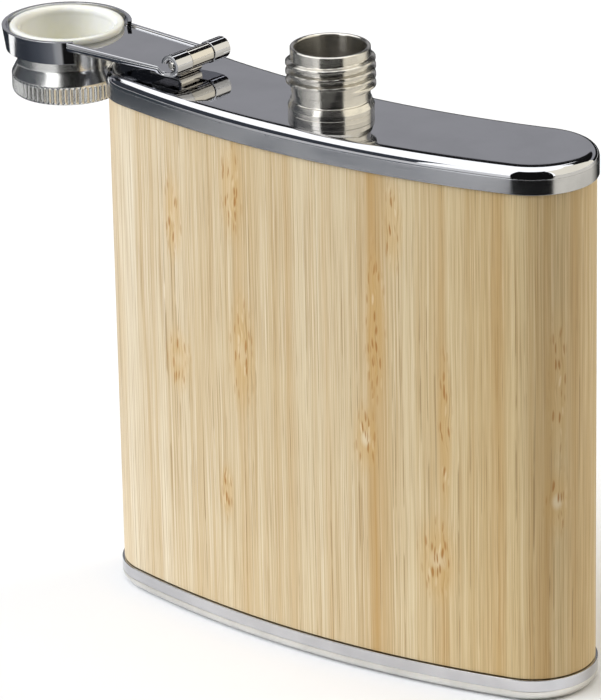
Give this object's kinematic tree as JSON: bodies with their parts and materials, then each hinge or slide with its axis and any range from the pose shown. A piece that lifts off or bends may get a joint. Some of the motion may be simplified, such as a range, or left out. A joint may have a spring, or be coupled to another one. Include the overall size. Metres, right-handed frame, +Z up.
{
  "type": "hip flask",
  "caption": "Curved stainless steel hip flask in a bamboo jacket, with a threaded neck and a screw cap held by a hinged arm that swings over onto it.",
  "frame": {"origin": "middle of the flat base, midway between the front and back faces on the body's centre line", "axes": "+Z up, the way out of the neck; +X along the flask's width, away from the open cap; +Y from the convex front face to the concave back face"},
  "size_m": [0.1165, 0.0269, 0.1044],
  "materials": {
    "polished_steel": "polished, faint brushing along the rim",
    "mirror_steel": "mirror polished",
    "satin_steel": "satin",
    "bamboo": "clear matt lacquer over fine vertical grain",
    "adhesive": "dried adhesive",
    "neck_steel": "polished, turned",
    "hinge_steel": "polished",
    "arm_steel": "mirror polished",
    "washer_plastic": "natural",
    "cap_chrome": "polished, knurled rim",
    "cream_plastic": "smooth, slightly translucent looking",
    "seal_rubber": "matt"
  },
  "bodies": {
    "flask": {"body_shell": "polished_steel", "top_plate": "mirror_steel", "bottom_plate": "satin_steel", "bamboo_wrap": "bamboo", "adhesive_film": "adhesive", "neck": "neck_steel", "hinge_bracket": "hinge_steel", "hinge_pin": "hinge_steel"},
    "arm": {"cap_arm": "arm_steel", "collar_band": "arm_steel"},
    "washer": {"slip_washer": "washer_plastic"},
    "screw_cap": {"cap_shell": "cap_chrome", "cap_liner": "cream_plastic", "cap_seal": "seal_rubber"}
  },
  "joints": [
    {"name": "arm_hinge", "type": "hinge", "parent": "flask", "child": "arm", "pos_m": [-0.02929, 0.00256, 0.09625], "axis": [0.0872, 0.9962, 0], "range_deg": [0, 180]},
    {"name": "cap_travel", "type": "slide", "parent": "arm", "child": "washer", "axis": [0, 0, 1], "range_m": [0, 0.00213]},
    {"name": "cap_spin", "type": "hinge", "parent": "washer", "child": "screw_cap", "pos_m": [-0.05858, 0.00513, 0.09625], "axis": [0, 0, 1], "range_deg": [0, 511]}
  ],
  "couplings": [
    {"joint": "cap_travel", "follows": "cap_spin", "m_per_rad": 0.00023873}
  ]
}
